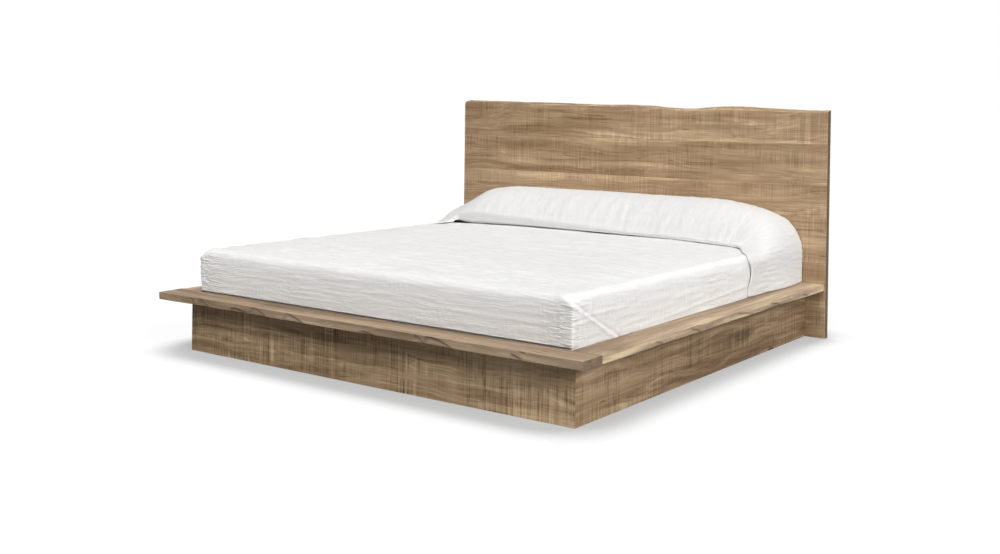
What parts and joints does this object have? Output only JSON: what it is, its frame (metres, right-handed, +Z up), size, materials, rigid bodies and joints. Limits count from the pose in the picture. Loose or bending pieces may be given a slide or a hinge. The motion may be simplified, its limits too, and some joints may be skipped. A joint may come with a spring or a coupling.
{
  "type": "platform bed",
  "caption": "King-size platform bed with a plank headboard, live-edge ledge round a sunk mattress, set-back plinth, slat deck and white coverlet over mattress and pillows.",
  "frame": {"origin": "on the floor, at the middle of the bed's footprint", "axes": "+Z up, +Y from the foot towards the headboard, +X to the right of someone who stands at the foot and looks at the headboard"},
  "size_m": [2.198, 2.237, 1.1317],
  "materials": {
    "headboard_wood": "oiled rough-sawn hardwood",
    "ledge_wood": "oiled planed hardwood with bark-free live edges",
    "plinth_wood": "oiled rough-sawn hardwood",
    "inner_softwood": "planed unfinished softwood",
    "dowel_wood": "unfinished beech",
    "fastener_steel": "zinc plated",
    "hanger_steel": "galvanised",
    "leveller_steel": "zinc plated",
    "insert_brass": "plain",
    "mattress_fabric": "knitted ticking",
    "coverlet_fabric": "crinkled white cotton",
    "pillow_fabric": "plain white cotton",
    "pillow_cover_fabric": "crinkled white cotton"
  },
  "bodies": {
    "bed_frame": {"batten_screws": "fastener_steel", "beam_hanger_foot": "hanger_steel", "beam_hanger_head": "hanger_steel", "centre_beam": "inner_softwood", "centre_leg_1": "inner_softwood", "centre_leg_2": "inner_softwood", "centre_leg_3": "inner_softwood", "corner_block_foot_left": "inner_softwood", "corner_block_foot_right": "inner_softwood", "corner_block_head_left": "inner_softwood", "corner_block_head_right": "inner_softwood", "dowels": "dowel_wood", "hanger_screws": "fastener_steel", "headboard_batten_left": "inner_softwood", "headboard_batten_middle": "inner_softwood", "headboard_batten_right": "inner_softwood", "headboard_bolts": "fastener_steel", "headboard_plank_1": "headboard_wood", "headboard_plank_2": "headboard_wood", "headboard_plank_3": "headboard_wood", "headboard_plank_4": "headboard_wood", "headboard_plank_5": "headboard_wood", "headboard_plank_6": "headboard_wood", "headboard_washers": "fastener_steel", "ledge_foot": "ledge_wood", "ledge_left": "ledge_wood", "ledge_right": "ledge_wood", "ledge_screws": "fastener_steel", "ledger_left": "inner_softwood", "ledger_right": "inner_softwood", "ledger_screws": "fastener_steel", "leg_bolts": "fastener_steel", "leg_nuts": "fastener_steel", "plinth_foot": "plinth_wood", "plinth_head_rail": "inner_softwood", "plinth_left": "plinth_wood", "plinth_right": "plinth_wood", "slat_01": "inner_softwood", "slat_02": "inner_softwood", "slat_03": "inner_softwood", "slat_04": "inner_softwood", "slat_05": "inner_softwood", "slat_06": "inner_softwood", "slat_07": "inner_softwood", "slat_08": "inner_softwood", "slat_09": "inner_softwood", "slat_10": "inner_softwood", "slat_11": "inner_softwood", "slat_12": "inner_softwood", "slat_13": "inner_softwood", "slat_screws": "fastener_steel", "threaded_inserts": "insert_brass"},
    "bedding": {"mattress": "mattress_fabric", "coverlet": "coverlet_fabric", "pillow_left": "pillow_fabric", "pillow_right": "pillow_fabric", "pillow_cover": "pillow_cover_fabric"},
    "leveller_1": {"leveller_1": "leveller_steel"},
    "leveller_2": {"leveller_2": "leveller_steel"},
    "leveller_3": {"leveller_3": "leveller_steel"}
  },
  "joints": [
    {"name": "bedding_lift", "type": "slide", "parent": "bed_frame", "child": "bedding", "axis": [0, 0, 1], "range_m": [0, 0.3]},
    {"name": "leveller_1_screw", "type": "slide", "parent": "bed_frame", "child": "leveller_1", "axis": [0, 0, -1], "range_m": [0, 0.012]},
    {"name": "leveller_2_screw", "type": "slide", "parent": "bed_frame", "child": "leveller_2", "axis": [0, 0, -1], "range_m": [0, 0.012]},
    {"name": "leveller_3_screw", "type": "slide", "parent": "bed_frame", "child": "leveller_3", "axis": [0, 0, -1], "range_m": [0, 0.012]}
  ]
}
